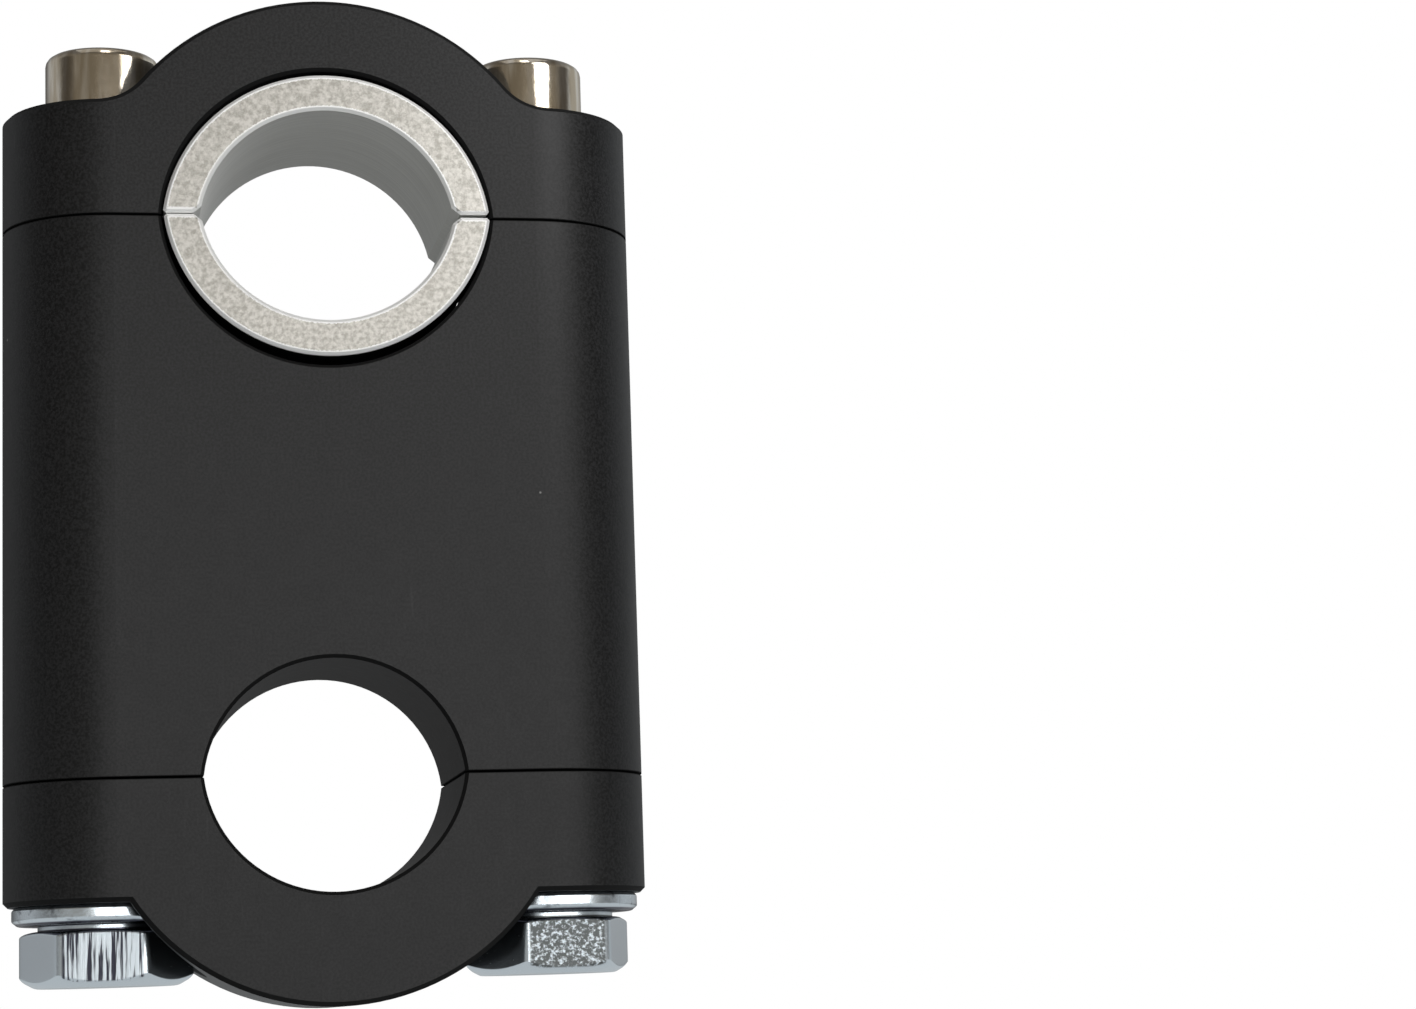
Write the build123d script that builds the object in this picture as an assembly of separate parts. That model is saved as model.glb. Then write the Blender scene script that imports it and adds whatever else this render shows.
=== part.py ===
from build123d import *
from math import cos, pi, sin
import os

# Handlebar riser: one block with a bolted clamp cap at each end. The upper clamp takes a 28.6 mm bar,
# or a 22.2 mm bar inside a split reducer; the lower clamp takes a 22.2 mm bar. No bar is fitted, so both
# caps are drawn up close to the block and the two half bores of each clamp meet in a slightly flat, pointed hole.
#
# Frame: millimetres, +Z up, bars along Y, front face at -Y. The origin is the axis of the lower half bore
# of the block, half way through its depth, so a fitted lower bar lies on the Y axis.

# Driving dimensions
BAR_R = 22.225 / 2          # handlebar, 7/8 in
SEAT_R = 28.575 / 2         # oversize handlebar, 1-1/8 in, and the outside of the reducer
RISE = 50.8                 # from bar axis to bar axis with both bars fitted, 2 in
STANDOFF = 1.3              # every half bore stops this far short of a half circle, so that it can grip
CLOSED_GAP = 0.2            # left at each parting line with the caps drawn up and no bar
WIDTH = 55.56               # 2 3/16 in
DEPTH = 19.05               # along the bars, 3/4 in; the two ends of the plan are half round
EAR_T = 10.2                # thickness of a cap at its screws
ARCH_R = 20.7
FLANK_FILLET = 5.0          # upper cap only: arch into ear
EDGE = 0.4                  # chamfer round the outline of each cap
MOUTH = 0.3                 # chamfer at the mouths of the bores
SCREW_X = 19.05             # screws on 38.1 mm centres

# M6 socket head cap screw
M6_R = 3.0
M6_HEAD_R, M6_HEAD_H = 5.0, 6.0
M6_HEAD_ROUND = 0.8         # upper edge of the head, turned in three steps
M6_HEAD_FOOT = 0.2          # chamfer under the head
M6_KEY, M6_KEY_DEPTH = 5.0, 3.0
M6_LENGTH = 25.0
M6_CLEARANCE_R = 3.3
M6_POCKET_R = 5.5
M6_HOLE_DEPTH = 18.0

# M8 hexagon head bolt and its flat washer
M8_R = 4.0
M8_FLATS, M8_HEAD_H = 13.0, 5.3
M8_FACE_R, M8_FACE_H = 5.8, 0.5
M8_LENGTH = 30.0
M8_CLEARANCE_R = 4.5
M8_POCKET_R = 8.5
M8_HOLE_DEPTH = 22.0
WASHER_R, WASHER_HOLE_R, WASHER_T = 8.0, 4.2, 1.6
WASHER_EDGE = 0.2
LEFT_TURN, RIGHT_TURN = -3.5, 8.0    # how the two hexagons happen to stand, degrees about Z

DRILL_SLOPE = 0.6           # depth over radius of the cone that a 118 degree drill leaves

# Split reducer
REDUCER_SHORT = 1.85        # each half stops this far short of a half ring
REDUCER_CLEAR = 0.03        # slip between reducer and seat
REDUCER_PROUD = 0.3         # stands out of the block at each face
REDUCER_EDGE = 0.25         # chamfer round both end faces of each half
REDUCER_NICK = 0.6          # inner corners at the split
REDUCER_CORNER = 0.25       # outer corners at the split

# The reducer lies loose until a bar spreads it
REDUCER_RAISE = 0.15        # above the parting line
UPPER_SLIP, LOWER_SLIP = 0.03, 0.08  # to the right
REDUCER_GAP = 0.18          # between the two halves, at the front
REDUCER_TURN = 0.4          # degrees by which the upper half is turned on its axis, opening the gap at the right
REDUCER_LEAN = 0.7          # degrees by which the lower half sinks towards the back

# Worked out
LOWER_PART_Z = STANDOFF                      # parting face of the block, below
UPPER_PART_Z = RISE - STANDOFF               # parting face of the block, above
BLOCK_H = UPPER_PART_Z - LOWER_PART_Z
UPPER_CAP_Z = UPPER_PART_Z + CLOSED_GAP
LOWER_CAP_Z = LOWER_PART_Z - CLOSED_GAP
UPPER_SEAT_Z = UPPER_CAP_Z + EAR_T           # under the socket heads
LOWER_SEAT_Z = LOWER_CAP_Z - EAR_T           # on the washers
SPLIT_Z = (UPPER_PART_Z + UPPER_CAP_Z) / 2 + REDUCER_RAISE
SIDES = (-1, 1)


def front_prism(profile, depth):
    """A profile drawn in X and Z, extruded evenly to both sides of the mid plane."""
    return extrude(Plane.XZ * profile, amount=depth / 2, both=True)


def plan_column(z0, z1):
    """The common plan of block and caps, with its half round ends, from height z0 to z1."""
    return Pos(0, 0, z0) * extrude(SlotOverall(WIDTH, DEPTH), amount=z1 - z0)


def at_screws(shape, z):
    """One copy of a shape on each screw axis, at height z."""
    return [Pos(side * SCREW_X, 0, z) * shape for side in SIDES]


def bore_mouths(part, radius):
    """The arcs where a half bore of this radius meets the front and back faces."""
    arcs = part.edges().filter_by(GeomType.CIRCLE)
    return arcs.filter_by(lambda e: abs(e.radius - radius) < 0.01 and abs(abs(e.center().Y) - DEPTH / 2) < 0.01)


def outline_edges(cap, bore_r):
    """Edges of a cap along ears and arch, apart from its parting face, its bore, and the lines along Y or Z
    where one surface runs smoothly into the next."""
    def wanted(edge):
        if edge.bounding_box().max.Z < 0.01:
            return False
        if edge.geom_type == GeomType.CIRCLE and edge.radius < bore_r + MOUTH + 0.01:
            return False
        direction = edge % 0.5
        return edge.geom_type != GeomType.LINE or max(abs(direction.Y), abs(direction.Z)) < 0.99
    return cap.edges().filter_by(wanted)


def clamp_cap(bore_r, flank_fillet, hole_r, pocket_r):
    """A cap standing on its parting face at z = 0: an arch over the half bore and an ear for each screw.
    The heads sit on the ears in round pockets that bite into the flanks of the arch."""
    axis = Pos(0, -STANDOFF)
    above = Pos(0, ARCH_R) * Rectangle(3 * ARCH_R, 2 * ARCH_R)
    profile = Pos(0, EAR_T / 2) * Rectangle(WIDTH, EAR_T) + (axis * Circle(ARCH_R) & above)
    if flank_fillet:
        meeting = profile.vertices().filter_by(
            lambda v: abs(v.Y - EAR_T) < 0.01 and abs(v.X) < WIDTH / 2 - 1)
        profile = fillet(meeting, flank_fillet)
    profile -= axis * Circle(bore_r)
    top = ARCH_R - STANDOFF
    cap = front_prism(profile, DEPTH) & plan_column(0, top + 1)
    cap = chamfer(bore_mouths(cap, bore_r), MOUTH)
    cap = chamfer(outline_edges(cap, bore_r), EDGE)
    for hole in at_screws(Cylinder(hole_r, 3 * EAR_T), EAR_T / 2):
        cap -= hole
    for pocket in at_screws(extrude(Circle(pocket_r), amount=top), EAR_T):
        cap -= pocket
    return cap


def tapped_hole(radius, depth):
    """A blind hole from z = 0 down, at the thread's outside size, with the drill's cone at its end."""
    cone_h = radius * DRILL_SLOPE
    cone = Pos(0, 0, -depth - cone_h / 2) * Cone(0, radius, cone_h)
    mouth = Pos(0, 0, -MOUTH / 2) * Cone(radius, radius + MOUTH, MOUTH)
    return Pos(0, 0, -depth / 2) * Cylinder(radius, depth) + cone + mouth


def riser_block():
    """The block: a half bore at each end and two tapped holes into each parting face."""
    profile = Pos(0, (LOWER_PART_Z + UPPER_PART_Z) / 2) * Rectangle(WIDTH, BLOCK_H)
    profile -= Circle(BAR_R)
    profile -= Pos(0, RISE) * Circle(SEAT_R)
    block = front_prism(profile, DEPTH) & plan_column(LOWER_PART_Z, UPPER_PART_Z)
    block = chamfer(bore_mouths(block, BAR_R) + bore_mouths(block, SEAT_R), MOUTH)
    for hole in at_screws(tapped_hole(M6_R, M6_HOLE_DEPTH), UPPER_PART_Z):
        block -= hole
    for hole in at_screws(Rot(180, 0, 0) * tapped_hole(M8_R, M8_HOLE_DEPTH), LOWER_PART_Z):
        block -= hole
    return block


def reducer_half():
    """Half of the split ring, above its split plane at z = 0, with broken rims and nicked inner corners."""
    axis = Pos(0, -REDUCER_SHORT)
    outer_r = SEAT_R - REDUCER_CLEAR
    above = Pos(0, outer_r) * Rectangle(3 * outer_r, 2 * outer_r)
    profile = (axis * Circle(outer_r) & above) - axis * Circle(BAR_R)
    inner_x = (BAR_R ** 2 - REDUCER_SHORT ** 2) ** 0.5
    feet = profile.vertices().filter_by(lambda v: abs(v.Y) < 0.01)
    inner = feet.filter_by(lambda v: abs(v.X) < inner_x + 0.1)
    profile = chamfer(inner, REDUCER_NICK)
    outer = profile.vertices().filter_by(lambda v: abs(v.Y) < 0.01 and abs(v.X) > inner_x + 1.5)
    profile = chamfer(outer, REDUCER_CORNER)
    half = front_prism(profile, DEPTH + 2 * REDUCER_PROUD)
    ends = half.faces().filter_by(Axis.Y)
    return chamfer(ends.edges(), REDUCER_EDGE)


def socket_screw():
    """Cap screw with its head on z = 0 and its shank downwards."""
    steps = (0, pi / 6, pi / 3, pi / 2)
    corner = [
        (M6_HEAD_R - M6_HEAD_ROUND * (1 - cos(a)), M6_HEAD_H - M6_HEAD_ROUND * (1 - sin(a)))
        for a in steps]
    foot = [(M6_HEAD_R - M6_HEAD_FOOT, 0), (M6_HEAD_R, M6_HEAD_FOOT)]
    turned = Polyline((0, 0), *foot, *corner, (0, M6_HEAD_H), close=True)
    head = revolve(Plane.XZ * make_face(turned), Axis.Z)
    key = RegularPolygon(M6_KEY / 2, 6, major_radius=False)
    head -= Pos(0, 0, M6_HEAD_H - M6_KEY_DEPTH) * extrude(key, amount=M6_KEY_DEPTH)
    shank = Pos(0, 0, -M6_LENGTH / 2) * Cylinder(M6_R, M6_LENGTH)
    shank = chamfer(shank.edges().sort_by(Axis.Z)[0], 0.7)
    return head + shank


def hex_bolt(turn):
    """Bolt with its washer face on z = 0, the head downwards and the shank upwards."""
    body_h = M8_HEAD_H - M8_FACE_H
    hexagon = RegularPolygon(M8_FLATS / 2, 6, major_radius=False, rotation=turn)
    head = Pos(0, 0, -M8_HEAD_H) * extrude(hexagon, amount=body_h)
    corner_r = M8_FLATS / 2 / 0.866 + 0.05
    flat_r = M8_FLATS / 2 * 0.96
    drop = (corner_r - flat_r) * 0.5
    turned = Polyline(
        (0, -M8_HEAD_H), (flat_r, -M8_HEAD_H), (corner_r, -M8_HEAD_H + drop),
        (corner_r, -M8_FACE_H - drop / 2), (corner_r - (corner_r - flat_r) / 2, -M8_FACE_H), (0, -M8_FACE_H),
        close=True)
    head &= revolve(Plane.XZ * make_face(turned), Axis.Z)
    face = Pos(0, 0, -M8_FACE_H / 2) * Cylinder(M8_FACE_R, M8_FACE_H)
    shank = Pos(0, 0, M8_LENGTH / 2) * Cylinder(M8_R, M8_LENGTH)
    shank = chamfer(shank.edges().sort_by(Axis.Z)[-1], 0.9)
    return head + face + shank


def flat_washer():
    """Washer with its upper face on z = 0."""
    ring = extrude(Circle(WASHER_R) - Circle(WASHER_HOLE_R), amount=-WASHER_T)
    rims = ring.edges().filter_by(GeomType.CIRCLE)
    return chamfer(rims.filter_by(lambda e: e.radius > WASHER_HOLE_R + 1), WASHER_EDGE)


def build():
    """Every piece in its place, by node name."""
    upper_cap = clamp_cap(SEAT_R, FLANK_FILLET, M6_CLEARANCE_R, M6_POCKET_R)
    lower_cap = clamp_cap(BAR_R, 0, M8_CLEARANCE_R, M8_POCKET_R)
    half = reducer_half()
    upper_half = Pos(0, 0, -REDUCER_SHORT) * Rot(0, -REDUCER_TURN, 0) * Pos(0, 0, REDUCER_SHORT) * half
    lower_half = Pos(0, -DEPTH / 2, 0) * Rot(-REDUCER_LEAN, 0, 0) * Pos(0, DEPTH / 2, 0) * Rot(180, 0, 0) * half
    screws = at_screws(socket_screw(), UPPER_SEAT_Z)
    washers = at_screws(flat_washer(), LOWER_SEAT_Z)
    under = LOWER_SEAT_Z - WASHER_T
    return {
        "riser_block": riser_block(),
        "upper_cap": Pos(0, 0, UPPER_CAP_Z) * upper_cap,
        "lower_cap": Pos(0, 0, LOWER_CAP_Z) * Rot(180, 0, 0) * lower_cap,
        "reducer_upper_half": Pos(UPPER_SLIP, 0, SPLIT_Z + REDUCER_GAP / 2) * upper_half,
        "reducer_lower_half": Pos(LOWER_SLIP, 0, SPLIT_Z - REDUCER_GAP / 2) * lower_half,
        "upper_screw_left": screws[0],
        "upper_screw_right": screws[1],
        "lower_bolt_left": Pos(-SCREW_X, 0, under) * hex_bolt(LEFT_TURN),
        "lower_bolt_right": Pos(SCREW_X, 0, under) * hex_bolt(RIGHT_TURN),
        "washer_left": washers[0],
        "washer_right": washers[1],
    }


os.makedirs("parts", exist_ok=True)
for name, piece in build().items():
    export_step(piece, f"parts/{name}.step")
    size = piece.bounding_box().size
    print(f"{name}: {piece.volume:.0f} mm3, {size.X:.2f} x {size.Y:.2f} x {size.Z:.2f} mm")
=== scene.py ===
# %% [markdown]
# # A motorcycle bar riser
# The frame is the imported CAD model: block, two clamp caps, a split reducer, screws, bolts and washers, each
# in its true place, in metres. The block and the caps keep their CAD form and get their finish here.

# %% Load the frame
import math
import bpy
import numpy as np
from mathutils import Matrix, Vector


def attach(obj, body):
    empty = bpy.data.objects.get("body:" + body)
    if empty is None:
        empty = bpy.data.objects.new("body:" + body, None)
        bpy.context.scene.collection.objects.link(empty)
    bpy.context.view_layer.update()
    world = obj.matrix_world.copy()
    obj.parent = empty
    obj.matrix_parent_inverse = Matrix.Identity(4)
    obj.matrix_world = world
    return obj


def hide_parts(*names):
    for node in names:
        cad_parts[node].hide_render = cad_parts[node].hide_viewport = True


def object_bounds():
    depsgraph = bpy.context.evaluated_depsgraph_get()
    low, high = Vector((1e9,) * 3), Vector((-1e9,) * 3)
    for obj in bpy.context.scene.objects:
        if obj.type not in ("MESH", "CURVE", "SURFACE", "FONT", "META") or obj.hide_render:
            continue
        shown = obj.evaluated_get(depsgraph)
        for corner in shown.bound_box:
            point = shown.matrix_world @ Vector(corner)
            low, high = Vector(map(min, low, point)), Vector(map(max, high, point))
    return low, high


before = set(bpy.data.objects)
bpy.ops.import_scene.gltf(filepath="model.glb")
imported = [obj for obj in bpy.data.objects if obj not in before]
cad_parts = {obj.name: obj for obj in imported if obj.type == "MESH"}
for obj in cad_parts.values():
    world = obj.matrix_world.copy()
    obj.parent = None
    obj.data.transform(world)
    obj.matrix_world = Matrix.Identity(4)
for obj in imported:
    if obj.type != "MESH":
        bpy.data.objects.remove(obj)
cad_low, cad_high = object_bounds()
MM = 0.001
print("CAD box in mm:", [round(v / MM, 2) for v in (*cad_low, *cad_high)])

# %% [markdown]
# ## Camera
# The photograph was taken with a long lens, from a little to the left and from just below the riser, so the
# upper walls of both bores show. A camera could be aimed by eye, but this one was fitted to the rims of the
# bores, the seams and the outline, which gives its place, turn and lens together. The riser fills the left
# part of the picture.

# %% Camera
CAMERA_PLACE = Vector((-22.71, -289.02, -19.51)) * MM
CAMERA_TURN = (98.723, 1.865, -10.961)  # degrees about X, Y and Z
LENS = 83.62                            # mm, for a picture 36 mm wide
NEAR, FAR = 0.01, 20                    # metres

camera_data = bpy.data.cameras.new("camera")
camera_data.lens = LENS
camera_data.clip_start = NEAR
camera_data.clip_end = FAR
camera = bpy.data.objects.new("camera", camera_data)
bpy.context.scene.collection.objects.link(camera)
camera.location = CAMERA_PLACE
camera.rotation_euler = [math.radians(angle) for angle in CAMERA_TURN]
bpy.context.scene.camera = camera
bpy.context.scene.view_settings.view_transform = "Standard"
print("camera at", [round(v / MM, 1) for v in CAMERA_PLACE], "mm")


# %% [markdown]
# ## A small language for materials
# A finish is a sum of patterns that change over the surface, such as grain, scratches and worn edges. Nodes
# could be wired one by one, but then a line of arithmetic takes ten lines. The class below wraps a node's
# output, so that a pattern is written as a Python expression, and each operator adds one Math node.

# %% Sockets with arithmetic
class Value:
    """An output socket in a node tree."""

    def __init__(self, shader, socket):
        self.shader = shader
        self.socket = socket

    def math(self, operation, *terms):
        """Any operation of the Math node, on this value and the other terms."""
        inputs = dict(enumerate((self, *terms)))
        return self.shader.node("ShaderNodeMath", {"operation": operation}, inputs)[0]

    def __add__(self, other):
        return self.math("ADD", other)

    def __mul__(self, other):
        return self.math("MULTIPLY", other)

    def __sub__(self, other):
        return self.math("SUBTRACT", other)

    def __rsub__(self, other):
        return (self * -1.0).math("ADD", other)

    def __pow__(self, power):
        return self.math("POWER", power)

    __radd__ = __add__
    __rmul__ = __mul__

    def size(self):
        """The value without its sign."""
        return self.math("ABSOLUTE")

    def least(self, other):
        """The smaller of two values."""
        return self.math("MINIMUM", other)

    def most(self, other):
        """The larger of two values."""
        return self.math("MAXIMUM", other)

    def ramp(self, low, high):
        """0 up to low and 1 from high on, with a smooth step between. If low is above high, it is 1 up to
        high and 0 from low on."""
        return self.shader.node(
            "ShaderNodeMapRange", {"interpolation_type": "SMOOTHSTEP"},
            {"Value": self, "From Min": low, "From Max": high, "To Min": 0.0, "To Max": 1.0})[0]


# %% [markdown]
# ### Node trees
# One method adds any node. The others name what comes back often: a place on the piece in millimetres,
# noise, a mix of two colours, and the principled surface that closes a material.

# %% Node trees
class Shader:
    """The node tree of a material or of the world."""

    def __init__(self, owner):
        owner.use_nodes = True
        self.tree = owner.node_tree
        self.tree.nodes.clear()

    def node(self, kind, settings=None, inputs=None):
        """Any node, with its settings first and then its inputs, by name or number. Gives its outputs."""
        made = self.tree.nodes.new(kind)
        for name, setting in (settings or {}).items():
            setattr(made, name, setting)
        for name, given in (inputs or {}).items():
            socket = made.inputs[name]
            if isinstance(given, Value):
                self.tree.links.new(given.socket, socket)
            elif isinstance(given, (tuple, list)) and socket.type == "RGBA":
                socket.default_value = (*given, 1.0)
            else:
                socket.default_value = given
        return [Value(self, out) for out in made.outputs]

    def place(self, centre=(0, 0, 0), scale=(1, 1, 1), turn=(0, 0, 0)):
        """Where on the object a point lies, in mm from a centre. A scale stretches patterns that run one
        way, and a turn, in degrees, slants them."""
        metres = self.node("ShaderNodeTexCoord")[3]
        return self.node(
            "ShaderNodeMapping", {"vector_type": "POINT"},
            {"Vector": metres, "Location": [-c * k for c, k in zip(centre, scale)],
             "Rotation": [math.radians(angle) for angle in turn], "Scale": [k / MM for k in scale]})[0]

    def along(self, place):
        """The x, y and z of a place."""
        return self.node("ShaderNodeSeparateXYZ", {}, {0: place})

    def noise(self, place, scale, detail=2.0, roughness=0.5):
        """Cloudy noise from 0 to 1 with so many cells to a millimetre."""
        inputs = {"Vector": place, "Scale": scale, "Detail": detail, "Roughness": roughness}
        return self.node("ShaderNodeTexNoise", {}, inputs)[0]

    def mix(self, factor, first, second):
        """Colour that goes from first to second as factor goes from 0 to 1."""
        return self.node("ShaderNodeMix", {"data_type": "RGBA"}, {0: factor, 6: first, 7: second})[2]

    def surface(self, height, depth, **sockets):
        """A principled surface with the given sockets and a relief so many millimetres deep."""
        bump = {"Height": height, "Distance": depth * MM, "Strength": 1.0}
        inputs = {"Normal": self.node("ShaderNodeBump", {}, bump)[0]}
        for name, given in sockets.items():
            inputs[name.replace("_", " ").title().replace("Ior", "IOR")] = given
        bsdf = self.node("ShaderNodeBsdfPrincipled", {}, inputs)[0]
        self.node("ShaderNodeOutputMaterial", {}, {"Surface": bsdf})


def new_shader(name):
    """A new material and its shader."""
    material = bpy.data.materials.new(name)
    return material, Shader(material)


# %% [markdown]
# ## World
# The photograph has a white ground, but its metal mirrors a dim room. In front of the riser that room is
# brownish, and darker at its sides, which makes the dark bands on the rounded ends of the block and on the
# screw heads. Behind the riser stand two brighter sweeps, left and right, which draw the light rims of the
# silhouette, and between them and overhead it is darker again. Walls and cards could be built for this, but
# they would be too far away for their shape to matter, so the colour of the world simply depends on the
# direction. The camera itself sees plain white.

# %% World
WHITE = (1.0, 1.0, 1.0)
ROOM = (0.20, 0.185, 0.16)
ROOM_SIDES = (0.08, 0.075, 0.07)
SWEEP_LEFT = (0.40, 0.41, 0.42)
SWEEP_RIGHT = (0.47, 0.49, 0.50)
OVERHEAD = (0.12, 0.115, 0.11)
BEHIND_LEFT = (0.10, 0.10, 0.10)
BEHIND_RIGHT = (0.33, 0.33, 0.33)


def studio_world():
    """The world's colour by direction: x, y and z run from -1 to 1, to the right, to the back and up."""
    world = bpy.data.worlds.new("studio")
    bpy.context.scene.world = world
    shader = Shader(world)
    x, y, z = shader.along(shader.node("ShaderNodeTexCoord")[0])
    sweep = shader.mix(x.ramp(-0.6, 0.6), SWEEP_LEFT, SWEEP_RIGHT)
    behind = shader.mix(x.ramp(-0.3, 0.3), BEHIND_LEFT, BEHIND_RIGHT)
    room = shader.mix(x.size().ramp(0.78, 0.93), ROOM, ROOM_SIDES)
    around = shader.mix(y.ramp(-0.1, 0.25), room, shader.mix(y.ramp(0.55, 0.98), sweep, behind))
    around = shader.mix(z.ramp(0.35, 0.85), around, OVERHEAD)
    seen = shader.node("ShaderNodeLightPath")[0]
    colour = shader.mix(seen, around, WHITE)
    background = shader.node("ShaderNodeBackground", {}, {"Color": colour, "Strength": 1.0})[0]
    shader.node("ShaderNodeOutputWorld", {}, {"Surface": background})
    return world


print("world nodes:", len(studio_world().node_tree.nodes))

# %% [markdown]
# ## Lamps
# A wide and low lamp stands in front of the riser and to the right. It leaves the flat faces evenly grey,
# and it is too low for the screw heads to mirror it. They have a bright upright band instead, which could
# be painted on, but then it would stay where it is when the view turns. So a small upright strip stands
# close to the riser, and a small spot higher up brightens the rounded upper edges of the heads. A weak lamp
# above lifts the top of the arch.

# %% Lamps
def softbox(name, place, target, width, height, radiance):
    """A rectangular lamp at a place, facing a target, in metres. A face that shines with some radiance to
    all sides gives off that radiance times pi times its area."""
    lamp = bpy.data.lights.new(name, "AREA")
    lamp.shape = "RECTANGLE"
    lamp.size = width
    lamp.size_y = height
    lamp.energy = radiance * math.pi * width * height
    box = bpy.data.objects.new(name, lamp)
    bpy.context.scene.collection.objects.link(box)
    away = (Vector(place) - Vector(target)).normalized()
    box.matrix_world = Matrix.Translation(Vector(place)) @ away.to_track_quat("Z", "Y").to_matrix().to_4x4()
    return box


CENTRE = (cad_low + cad_high) / 2
HEADS = Vector((0, 0, 0.063))
lamps = [
    softbox("front", (0.35, -1.12, 0.13), CENTRE, 1.45, 0.29, 3.4),
    softbox("top", (-0.1, -0.3, 1.4), CENTRE, 1.4, 1.4, 0.3),
    softbox("strip", (0.044, -0.057, 0.088), HEADS, 0.033, 0.05, 3.0),
    softbox("spot", (0.0, -0.10, 0.23), HEADS, 0.04, 0.08, 4.0),
]
print("lamps in watts:", [(lamp.name, round(lamp.data.energy, 3)) for lamp in lamps])

# %% [markdown]
# ## Floor
# The riser stands on a plain pale floor. A floor that only scatters light would show its shadows in every
# mirror image and would end in a grey line against the white world. So its material tells the rays apart.
# Mirror images find an even table without shadows, light in front of the riser and dark behind it. The
# camera finds the real floor, brightened with white, and nothing but white from 0.9 m on. From below the
# floor lets the view through, because the camera of the photograph stands about a millimetre below it.

# %% Floor
FLOOR_HALF = 3.0                        # metres from the middle to a side
FLOOR_COLOUR = (0.86, 0.86, 0.86)
TABLE_FRONT, TABLE_BACK = (0.50, 0.52, 0.53), (0.15, 0.15, 0.15)
WHITENED = 0.55                         # share of white that the camera sees close by


def floor():
    """A square sheet at the height of the riser's lowest point."""
    sides = ((-1, -1), (1, -1), (1, 1), (-1, 1))
    mesh = bpy.data.meshes.new("floor")
    mesh.from_pydata([(FLOOR_HALF * i, FLOOR_HALF * j, cad_low.z) for i, j in sides], [], [(0, 1, 2, 3)])
    sheet = bpy.data.objects.new("floor", mesh)
    bpy.context.scene.collection.objects.link(sheet)
    mesh.materials.append(floor_white())
    return sheet


def floor_white():
    """Two mixes: scattering with an even glow by the kind of ray, and then with clear by the side seen."""
    material, shader = new_shader("floor_white")
    seen, mirrored = (shader.node("ShaderNodeLightPath")[k] for k in (0, 3))
    x, y, _ = shader.along(shader.place())
    table = shader.mix(y.ramp(10, 60), TABLE_FRONT, TABLE_BACK)
    diffuse = shader.node("ShaderNodeBsdfDiffuse", {}, {"Color": FLOOR_COLOUR})[0]
    glow = {"Color": shader.mix(mirrored, WHITE, table), "Strength": 1.0}
    even = shader.node("ShaderNodeEmission", {}, glow)[0]
    far = ((x ** 2 + y ** 2) ** 0.5).ramp(150, 900)
    white = seen * (WHITENED + (1 - WHITENED) * far) + mirrored
    above = shader.node("ShaderNodeMixShader", {}, {0: white, 1: diffuse, 2: even})[0]
    clear = shader.node("ShaderNodeBsdfTransparent")[0]
    under = shader.node("ShaderNodeNewGeometry")[6]
    both = shader.node("ShaderNodeMixShader", {}, {0: under, 1: above, 2: clear})[0]
    shader.node("ShaderNodeOutputMaterial", {}, {"Surface": both})
    return material


print("floor at", round(floor().data.vertices[0].co.z / MM, 2), "mm")

# %% [markdown]
# ## Screws, bolts and washers
# All of them are made on a lathe or a header, so each is one profile turned about an upright axis. A row of
# the profile holds a radius and a height in mm, and three numbers more: how far the row is drawn out to a
# hexagon, how much height it gains on the way out there, and how deep a thread is cut in it. A hexagon
# could be cut from a cylinder instead, but this way the cone that chamfers its corners comes from the same
# formula, and every face stays a clean strip.

# %% Profiles
FLAT_BAND = 0.04        # mm between an arc and the row that keeps the side beyond it flat


def softened(corners, steps=5):
    """Rows of a profile from its corners, each (radius, height, hexagon, climb, thread, reach). A corner
    with a reach above 0 becomes an arc that touches both of its sides that far from the corner. The arc is
    the weighted mean of its two ends and the corner, with weights (1-t)^2, t^2 and 2t(1-t) times the sine
    of half the corner's angle, which for t from 0 to 1 draws a true circle. One more row on either side of
    it keeps the shading of the sides flat."""
    corners = np.array(corners, float)
    rows = []
    for i, corner in enumerate(corners):
        place, reach = corner[:5], corner[5]
        if reach == 0:
            rows.append(place)
            continue
        steps_out = [corners[(i + k) % len(corners), :5] - place for k in (-1, 1)]
        units = [step / np.hypot(step[0], step[1]) for step in steps_out]
        first, last = (place + unit * reach for unit in units)
        weight = math.sqrt(max(0.0, (1 - float(units[0][:2] @ units[1][:2])) / 2))
        rows.append(first + units[0] * FLAT_BAND)
        for t in np.linspace(0, 1, steps):
            parts = np.array([(1 - t) ** 2, 2 * t * (1 - t) * weight, t ** 2])
            rows.append((parts[0] * first + parts[1] * place + parts[2] * last) / parts.sum())
        rows.append(last + units[1] * FLAT_BAND)
    return rows


def thread(radius, depth, pitch, start, stop):
    """Rows down a threaded shank, eight to each turn of the thread, from height start to height stop."""
    count = int(abs(start - stop) / pitch * 8) + 1
    return [(radius, z, 0, 0, depth) for z in np.linspace(start, stop, count)]


print("rows on 10 mm of M6 thread:", len(thread(3.0, 0.6, 1.0, 0, -10)))

# %% [markdown]
# ### Turning
# The outline of a hexagon with rounded corners is worked out once, and it is then shared by all rows of a
# piece. The points lie closer together where the outline bends. A thread could be a groove cut along a
# helix. Here it is a wave in the rows that climbs by one pitch in each turn, so it needs no shape of its own.

# %% Turning
SECTOR = math.pi / 3
FLAT_POINTS, CORNER_POINTS = 19, 7
STEEPNESS, CREST = 2.3, 0.35            # of a thread's flanks, and what is taken off for a flat crest
SHARP = math.radians(28)                # edges sharper than this stay sharp


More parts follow.
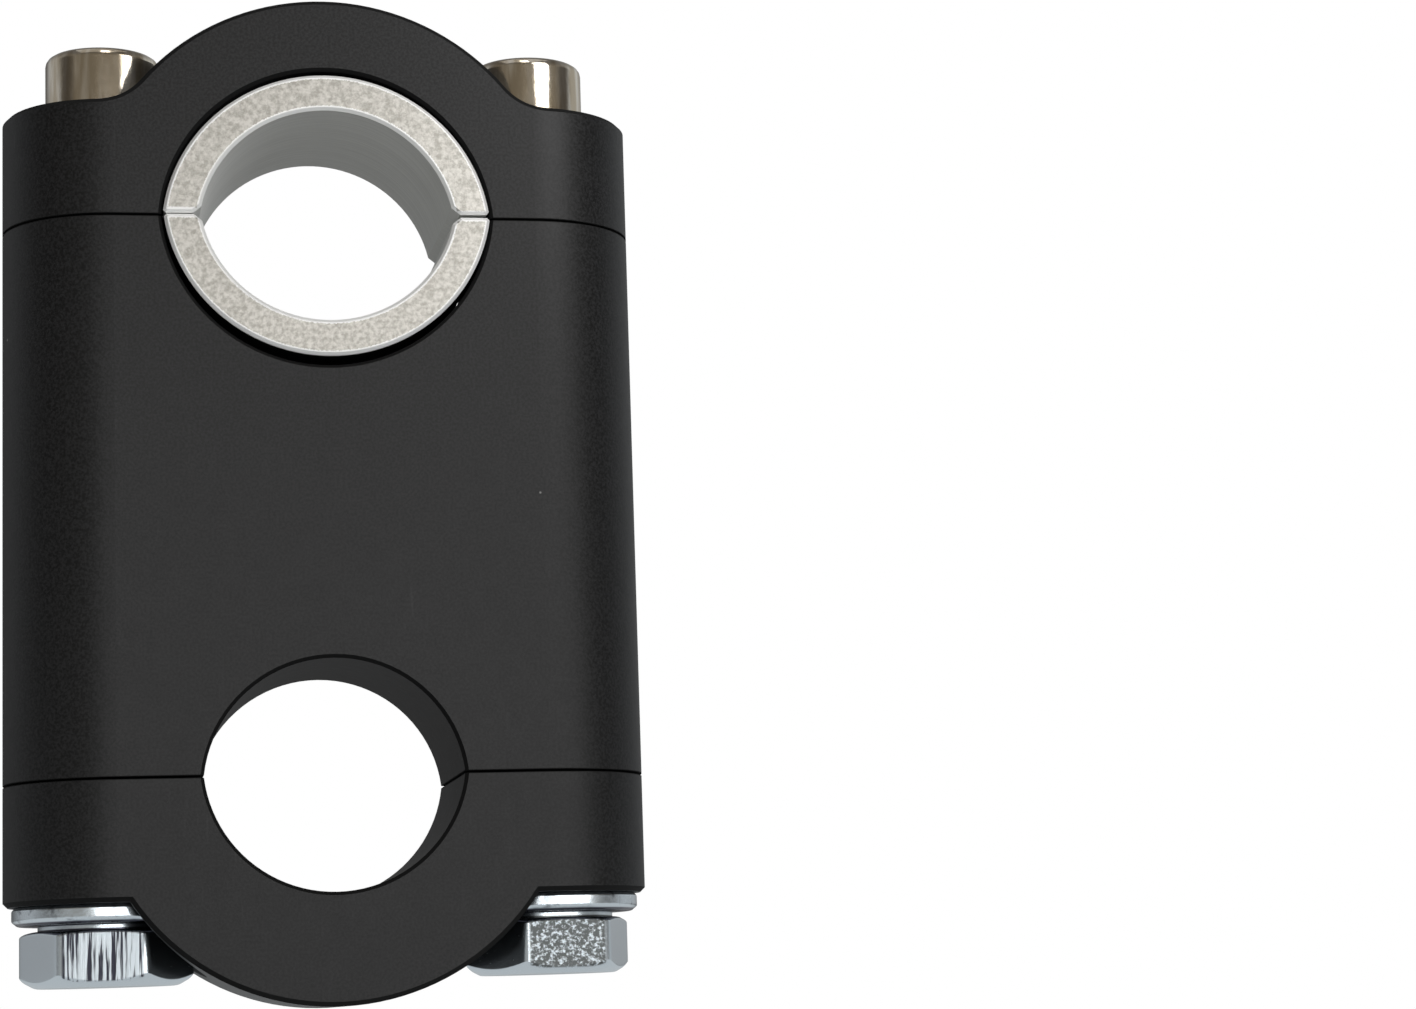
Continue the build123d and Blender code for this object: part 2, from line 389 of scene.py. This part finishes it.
def hexagon_angles(rounding):
    """Angles round a hexagon, closer together at its corners, and how far the outline lies at each, as a
    multiple of the distance to a flat. Along a flat that is one over the cosine of the angle from its
    middle. At a corner it is the far side of a small circle, whose radius is the given share of the
    distance to a flat."""
    flat_end = math.atan((1 - rounding) * math.tan(SECTOR / 2))
    along_flat = np.linspace(-flat_end, flat_end, FLAT_POINTS)
    round_corner = np.linspace(flat_end, SECTOR - flat_end, CORNER_POINTS)[1:-1]
    sector = np.concatenate([along_flat, round_corner])
    to_corner = (1 - rounding) / math.cos(SECTOR / 2)
    off = np.abs(SECTOR / 2 - sector)
    within = np.maximum(0, rounding ** 2 - (to_corner * np.sin(off)) ** 2)
    corner = to_corner * np.cos(off) + np.sqrt(within)
    reach = np.where(off < SECTOR / 2 - flat_end, corner, 1 / np.cos(sector))
    return np.concatenate([sector + k * SECTOR for k in range(6)]), np.tile(reach, 6)


def turned(name, rows, centre, turn=0.0, rounding=0.05, pitch=1.0, ring=False):
    """A piece turned about an upright axis through centre, in mm, and then turned by so many degrees about
    it. At each angle a row's radius is multiplied by 1 + hexagon * (outline - 1), its height grows by climb
    times what the radius gained, and a threaded row gives way by the thread's depth times a wave. That is a
    triangle wave, made steeper and cut off at 0 and 1, with one crest to each pitch of height, and it lags
    one pitch behind in a full turn. A ring closes on its first row. Other pieces start and end with a row
    of radius 0, which becomes one point."""
    angles, outline = hexagon_angles(rounding)
    rows = np.array(rows, float)
    around, count = len(angles), len(rows)
    radius, height, hexed, climb, cut = (rows[:, k, None] for k in range(5))
    phase = (height / pitch - angles / (2 * math.pi)) % 1.0
    groove = np.clip(STEEPNESS * (1 - np.abs(2 * phase - 1)) - CREST, 0, 1)
    gain = radius * hexed * (outline - 1)
    r = radius + gain - cut * groove
    angle = angles + math.radians(turn)
    grid = np.stack([r * np.cos(angle), r * np.sin(angle), height + climb * gain], axis=-1)
    index = np.arange(count * around).reshape(count, around)
    beside = np.roll(index, -1, axis=1)
    strips = []
    for i in range(count if ring else count - 1):
        k = (i + 1) % count
        strip = np.stack([index[i], index[k], beside[k], beside[i]], axis=-1)
        if not ring and i == 0:
            strip = np.stack([0 * index[k], index[k], beside[k]], axis=-1)
        if not ring and i == count - 2:
            strip = np.stack([index[i], 0 * index[k] + index[k, 0], beside[i]], axis=-1)
        strips.append(strip)
    return solid(name, grid.reshape(-1, 3) + np.array(centre), strips)


def solid(name, points, strips):
    """A piece from points in mm and strips of faces. Points that no face uses are left out."""
    used = np.unique(np.concatenate([strip.ravel() for strip in strips]))
    faces = [face for strip in strips for face in np.searchsorted(used, strip).tolist()]
    mesh = bpy.data.meshes.new(name)
    mesh.from_pydata((points[used] * MM).tolist(), [], faces)
    mesh.polygons.foreach_set("use_smooth", [True] * len(mesh.polygons))
    mesh.set_sharp_from_angle(angle=SHARP)
    made = bpy.data.objects.new(name, mesh)
    bpy.context.scene.collection.objects.link(made)
    return made


def stands_for(piece, node):
    """Puts a piece in the place of a CAD node."""
    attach(piece, "root")
    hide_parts(node)
    return piece


# %% [markdown]
# ### Socket head cap screws
# M6, 25 mm long, with a turned head that is rounded over at the top and a 5 mm hexagon socket. The socket
# is broached into a drilled hole, so a shallow cone shows at its bottom, and its mouth is countersunk. It
# could be cut out with a Boolean, but as rows of the same profile it has clean edges and no stray faces.

# %% Socket head cap screws
SCREW_X = 19.05         # from the middle of the riser
SCREW_SEAT = 59.9       # top of the ears of the upper cap


def socket_screw(node, side):
    """Rows from the bottom of the socket up its six walls, over the head and down the threaded shank."""
    head = softened([
        (0, 2.4, 0, 0, 0, 0), (2.3, 3.0, 0, 0, 0, 0), (2.5, 3.0, 1, 0, 0, 0), (2.5, 5.55, 1, 1, 0, 0),
        (2.95, 6.0, 0, 0, 0, 0.1), (5.0, 6.0, 0, 0, 0, 0.8), (5.0, 0.0, 0, 0, 0, 0.2),
        (3.3, 0.0, 0, 0, 0, 0)])
    neck = (2.98, -0.4, 0, 0, 0)
    tip = [(2.3, -25.0, 0, 0, 0), (0, -25.0, 0, 0, 0)]
    rows = [*head, neck, *thread(2.98, 0.6, 1.0, -0.9, -24.3), *tip]
    screw = turned(node + "_turned", rows, (side * SCREW_X, 0, SCREW_SEAT), turn=30)
    return stands_for(screw, node)


screws = [socket_screw(f"upper_screw_{word}", side) for side, word in ((-1, "left"), (1, "right"))]
print([(screw.name, len(screw.data.polygons)) for screw in screws])

# %% [markdown]
# ### Hexagon bolts
# M8, 30 mm long. The head is 13 mm across its flats and stands on a thin round washer face. Its outer end
# is chamfered by a cone, so a curved bright line crosses each flat near its corners. The cone is a row that
# climbs the further it is drawn out. The two hexagons stand at different angles, as the wrench left them.

# %% Hexagon bolts
BOLT_SEAT = -10.7       # under the washers
BOLT_PITCH = 1.25


def hex_bolt(node, side, turn):
    """Rows from the tip of the shank down its thread, out under the head, along its flats and back in."""
    shank = [(0, 30.0, 0, 0, 0), (3.1, 30.0, 0, 0, 0), *thread(3.98, 0.74, BOLT_PITCH, 29.1, 1.5)]
    head = softened([
        (3.98, 0.4, 0, 0, 0, 0), (4.3, 0.0, 0, 0, 0, 0), (5.8, 0.0, 0, 0, 0, 0.1), (5.8, -0.5, 0, 0, 0, 0),
        (6.5, -0.5, 1, -0.3, 0, 0.28), (6.5, -4.95, 1, 0.58, 0, 0.18), (5.9, -5.3, 0, 0, 0, 0.12),
        (0, -5.3, 0, 0, 0, 0)])
    place = (side * SCREW_X, 0, BOLT_SEAT)
    bolt = turned(node + "_turned", [*shank, *head], place, turn=turn, rounding=0.14, pitch=BOLT_PITCH)
    return stands_for(bolt, node)


bolts = [hex_bolt("lower_bolt_left", -1, 26.5), hex_bolt("lower_bolt_right", 1, 38.0)]
print([(bolt.name, len(bolt.data.polygons)) for bolt in bolts])

# %% [markdown]
# ### Washers
# They are punched from sheet and tumbled, so each outer edge is broken by a small chamfer, wider below than
# above, and rounded over. The section is a closed loop of rows, because a washer has a hole and no point on
# its axis.

# %% Washers
WASHER_TOP = -9.1       # on the lower cap


def washer(node, side):
    """Rows once round the section: out along the top, down the edge, in below and up along the hole."""
    rows = softened([
        (4.2, 0.0, 0, 0, 0, 0.1), (7.72, 0.0, 0, 0, 0, 0.08), (8.0, -0.3, 0, 0, 0, 0.1),
        (8.0, -1.2, 0, 0, 0, 0.12), (7.5, -1.6, 0, 0, 0, 0.15), (4.2, -1.6, 0, 0, 0, 0.2)])
    disc = turned(node + "_punched", rows, (side * SCREW_X, 0, WASHER_TOP), ring=True)
    return stands_for(disc, node)


washers = [washer(f"washer_{word}", side) for side, word in ((-1, "left"), (1, "right"))]
print([(disc.name, len(disc.data.polygons)) for disc in washers])


# %% [markdown]
# ## Finishes
# ### Black anodising
# The block and caps were milled, tumbled and dyed black. Up close that is a matte, very fine grain with a
# faint cloudiness, a few hairline scratches and some dust. Edges, the lips of the two seams and the seat
# behind the reducer are painted black and made rough enough to mirror nothing. That is painted shade in the
# seam gaps and in the gap behind the reducer, and painted dark outlines along the edges. These places could
# be separate pieces with a finish of their own, but the solids stay whole. So an edge is found by its
# normal, which leans between that of a face and that of a side, a seam by its height, and the seat by its
# distance from the axis of the bore.

# %% Black anodising
LOWER_SEAM, UPPER_SEAM = 1.2, 49.6      # heights
SEAT_RADIUS, SEAT_OFF_SEAM = 14.29, 1.2
ROUND_END = 18.3                        # from here on in x the block is rounded
EDGE_FROM, EDGE_TO = 8.95, 9.10         # depth in y at which an edge begins
DYE_DEEP, DYE_PALE = (0.002, 0.002, 0.0022), (0.017, 0.017, 0.018)
BLACK, DUST = (0.0, 0.0, 0.0), (0.30, 0.30, 0.30)


def anodised_black():
    """Deep and pale dye by the grain, black and rough where painted shade and painted dark outlines lie, and
    pale on the dust.
    """
    material, shader = new_shader("anodised_black")
    place = shader.place()
    grain = shader.noise(place, 4.2, 3.0, 0.6)
    cloud = shader.noise(place, 0.9, 3.0)
    hair = shader.noise(shader.place(scale=(3.0, 0.5, 0.12), turn=(0, 28, 0)), 2.0, 1.0).ramp(0.70, 0.76)
    specks = {"Vector": place, "Scale": 0.16, "Randomness": 1.0}
    distance, tint = shader.node("ShaderNodeTexVoronoi", {}, specks)[:2]
    dust = distance.ramp(0.022, 0.014) * shader.along(tint)[0].ramp(0.6, 0.62)
    x, y, z = shader.along(place)
    at_end = x.size().ramp(ROUND_END - 0.1, ROUND_END + 0.1)
    across, _, up = shader.along(shader.node("ShaderNodeTexCoord")[1])
    lean = up ** 2 + across ** 2 * (1 - at_end)
    outside = y.size().ramp(EDGE_FROM, EDGE_TO).most(at_end)
    edge = lean.ramp(0.05, 0.3) * lean.ramp(0.99, 0.85) * outside
    off_seam = (z - LOWER_SEAM).size().least((z - UPPER_SEAM).size())
    off_axis = (x ** 2 + ((z - UPPER_SEAM).size() + SEAT_OFF_SEAM) ** 2) ** 0.5
    seat = off_axis.ramp(SEAT_RADIUS + 0.25, SEAT_RADIUS + 0.1)
    # painted shade in the seam gaps and behind the reducer, and painted dark outlines on the edges: black and
    # rough
    painted_dark_and_dull = edge.most(off_seam.ramp(0.20, 0.11)).most(seat)
    shade = shader.mix(painted_dark_and_dull, shader.mix(grain.ramp(0.35, 0.65), DYE_DEEP, DYE_PALE), BLACK)
    shader.surface(
        grain + cloud * 0.5, 0.006, base_color=shader.mix(dust, shade, DUST),
        roughness=0.36 + 0.06 * cloud + 0.12 * grain - 0.06 * hair + 0.45 * painted_dark_and_dull,
        metallic=0.0, specular_ior_level=0.36)
    return material


black = anodised_black()
print("nodes in the black:", len(black.node_tree.nodes))

# %% [markdown]
# ### Bare aluminium
# The reducer was parted off from a turned ring and split with a saw. Its flat ends are finely pitted by the
# tumbling, and its bore still has the faint rings of the turning tool. A pale, partly matte band along its
# edges is a painted highlight, for the light that rounded edges catch. Its outside is painted dark where it
# lies in the gap, as painted shade. A picture could hold all of that, but it would blur up close. Here the
# painted highlight is found by the distance to the outline instead: outer arc, inner arc or split,
# whichever is nearest.

# %% Bare aluminium
RING_OUTER, RING_INNER = 14.26, 11.11   # radii
RING_END = 9.5                          # depth in y at which the flat ends begin
END_LOW, END_HIGH = (0.38, 0.365, 0.33), (0.62, 0.60, 0.56)
BORE_LOW, BORE_HIGH = (0.76, 0.77, 0.75), (0.88, 0.89, 0.87)
EDGE_HIGHLIGHT_WHITE, GAP_SHADE = (0.98, 0.98, 0.97), (0.01, 0.01, 0.01)


def bare_aluminium(name, centre_x, centre_z, split_z):
    """A reducer half round the given centre, with its split at the given height: pitted at the ends, ringed
    in the bore, with a painted highlight along its edges and painted shade on its outside in the gap."""
    material, shader = new_shader(name)
    place = shader.place()
    x, y, z = shader.along(place)
    radius = ((x - centre_x) ** 2 + (z - centre_z) ** 2) ** 0.5
    pits = shader.noise(place, 2.6, 4.0, 0.65)
    fine = shader.noise(place, 7.0, 2.0)
    rings = shader.noise(shader.place(scale=(0.05, 3.0, 0.05)), 2.0, 3.0)
    nearest = (radius - RING_INNER).least(RING_OUTER - radius).least((z - split_z).size())
    at_end = y.size().ramp(RING_END - 0.05, RING_END)
    # painted highlight: a pale, partly matte band along the edges stands in for light caught by rounded edges
    edge_highlight = (nearest + 0.25 * (fine - 0.5)).ramp(0.42, 0.34) * at_end
    face = shader.mix(pits.ramp(0.32, 0.68), END_LOW, END_HIGH)
    # painted shade: the outside of the reducer goes dark where it lies in the gap
    in_gap_shade = radius.ramp(RING_OUTER - 0.10, RING_OUTER - 0.04) * (1 - at_end)
    wall = shader.mix(in_gap_shade, shader.mix(rings.ramp(0.3, 0.7), BORE_LOW, BORE_HIGH), GAP_SHADE)
    colour = shader.mix(edge_highlight, shader.mix(at_end, wall, face), EDGE_HIGHLIGHT_WHITE)
    shader.surface(
        pits * at_end + rings * 0.3, 0.02, base_color=colour,
        roughness=0.42 + 0.15 * edge_highlight + 0.10 * (rings - 0.5), metallic=0.5 + 0.5 * at_end - 0.45 * edge_highlight)
    return material


upper_ring = bare_aluminium("bare_aluminium_upper", 0.03, 47.99, 49.84)
lower_ring = bare_aluminium("bare_aluminium_lower", 0.08, 51.51, 49.66)
print("nodes in each aluminium:", len(upper_ring.node_tree.nodes))

# %% [markdown]
# ### Bright nickel
# The socket screws are plated over turned steel. That gives a mirror with slow waves, which breaks its
# images up a little, and a warm, slightly brown colour. Upright brown stripes on the side of the head are
# painted reflection. A plain mirror would look like glass. The stripes are kept off the top of the head by
# the distance from the screw's axis, where only an even share of the brown is left.

# %% Bright nickel
HEAD_SIDE = 4.9                         # radius from which a place is on the side of a head
NICKEL_CLEAN, NICKEL_TINT_AND_REFLECTION = (0.92, 0.85, 0.74), (0.62, 0.53, 0.40)
EVEN_TINT = 0.25                       # everywhere but on the side


def bright_nickel():
    """Clean and brown plate, mixed on the side of the head by upright stripes of painted reflection."""
    material, shader = new_shader("nickel_plate")
    place = shader.place()
    waves = shader.noise(shader.place(scale=(1.0, 1.0, 0.6)), 0.8, 2.0)
    fine = shader.noise(place, 6.0, 2.0)
    x, y, _ = shader.along(place)
    radius = ((x.size() - SCREW_X) ** 2 + y ** 2) ** 0.5
    # painted reflection: upright brown stripes on the side of the head
    reflection_stripes = shader.noise(shader.place(scale=(1.0, 1.0, 0.15)), 0.9, 3.0).ramp(0.35, 0.62)
    tint_and_reflection = EVEN_TINT + (reflection_stripes - EVEN_TINT) * radius.ramp(HEAD_SIDE - 0.3, HEAD_SIDE)
    shader.surface(
        waves + 0.08 * fine, 0.025, base_color=shader.mix(tint_and_reflection, NICKEL_CLEAN, NICKEL_TINT_AND_REFLECTION),
        roughness=0.10 + 0.05 * tint_and_reflection, metallic=1.0)
    return material


nickel = bright_nickel()
print("nodes in the nickel:", len(nickel.node_tree.nodes))

# %% [markdown]
# ### Bright zinc
# Zinc plate has a bluish white colour. The bolt heads were forged and trimmed. One flat that faces the
# camera carries upright tool marks, the other a coarse grain, and both have a border that is rubbed bright.
# Painted shade draws a dark line under each washer and where its bolt's head begins. Both bolts share
# one recipe with the marks as its only difference, because they are the same piece from the same bath.

# %% Bright zinc
ZINC, ZINC_DARK_AND_SHADE = (0.80, 0.87, 0.92), (0.08, 0.08, 0.10)
HEAD_TOP = BOLT_SEAT - 0.5              # where the six flats begin
FLAT_OUT = 6.42                         # from the axis almost out to a flat
MARKS_MIDDLE = BOLT_SEAT - 2.78
MARKS_HALF_WIDTH, MARKS_HALF_HEIGHT = 3.25, 1.95


def zinc_metal(shader, dark, relief, depth, rough=0.0, deep=ZINC_DARK_AND_SHADE):
    """The plate's own grain and colour, with darker places, some of them painted shade, rougher places
    and a relief from the marks.
    """
    fine = shader.noise(shader.place(), 5.0, 3.0)
    shader.surface(
        relief + 0.05 * fine, depth, base_color=shader.mix(dark, ZINC, deep),
        roughness=0.20 + 0.10 * fine + rough, metallic=1.0)


def zinc_bolt(name, side, facing, scale, low, high, deep):
    """Zinc on a bolt. Only the flat that faces this many degrees round carries the marks. It is found by
    how far a place lies from the bolt's axis towards that side, and the marks keep to the middle of it."""
    material, shader = new_shader(name)
    x, y, z = shader.along(shader.place(centre=(side * SCREW_X, 0, 0)))
    angle = math.radians(facing)
    out = x * math.cos(angle) + y * math.sin(angle)
    across = (y * math.cos(angle) - x * math.sin(angle)).size()
    field = across.ramp(MARKS_HALF_WIDTH + 0.25, MARKS_HALF_WIDTH)
    field = field * (z - MARKS_MIDDLE).size().ramp(MARKS_HALF_HEIGHT + 0.20, MARKS_HALF_HEIGHT)
    marked = out.ramp(FLAT_OUT - 0.17, FLAT_OUT) * field
    marks = shader.noise(shader.place(scale=scale), 1.0, 3.0, 0.62)
    # painted shade: a dark ring where the head begins, below the washer
    shade_under_washer = (z - HEAD_TOP).size().ramp(0.16, 0.08)
    dark = (marks.ramp(high, low) * marked).most(shade_under_washer)
    zinc_metal(shader, dark, marks * marked, 0.05, marked * 0.25, deep)
    return material


def zinc_washer():
    """Zinc with a few darker waves, and painted shade along the lower edge."""
    material, shader = new_shader("zinc_plate_washer")
    waves = shader.noise(shader.place(), 0.8, 2.0)
    # painted shade: a dark line along the lower edge of the washer
    lip_shade = shader.along(shader.place())[2].ramp(BOLT_SEAT + 0.28, BOLT_SEAT + 0.14)
    zinc_metal(shader, (waves.ramp(0.42, 0.30) * 0.5).most(lip_shade), waves, 0.03)
    return material


zinc_trimmed = zinc_bolt("zinc_plate_trimmed", -1, 266.5, (2.7, 2.7, 0.12), 0.42, 0.52, (0.06, 0.06, 0.08))
zinc_forged = zinc_bolt("zinc_plate_forged", 1, 278.0, (3.0, 3.0, 3.6), 0.46, 0.66, (0.15, 0.16, 0.16))
zinc_plain = zinc_washer()
print("nodes in each zinc:", len(zinc_trimmed.node_tree.nodes), len(zinc_plain.node_tree.nodes))

# %% [markdown]
# ## Hand out the finishes
# A finish could be given where each piece is made, but here one list shows them all. Nothing is moved: the
# CAD nodes keep their meshes and only get a material, and so do the turned pieces.

# %% Hand out the finishes
finish_of = {
    "riser_block": black, "upper_cap": black, "lower_cap": black,
    "reducer_upper_half": upper_ring, "reducer_lower_half": lower_ring,
}
for name, material in finish_of.items():
    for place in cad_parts[name].material_slots:
        place.material = material
turned_finishes = (nickel, nickel, zinc_trimmed, zinc_forged, zinc_plain, zinc_plain)
for piece, material in zip((*screws, *bolts, *washers), turned_finishes):
    piece.data.materials.append(material)
print("finished", [material.name for material in bpy.data.materials])
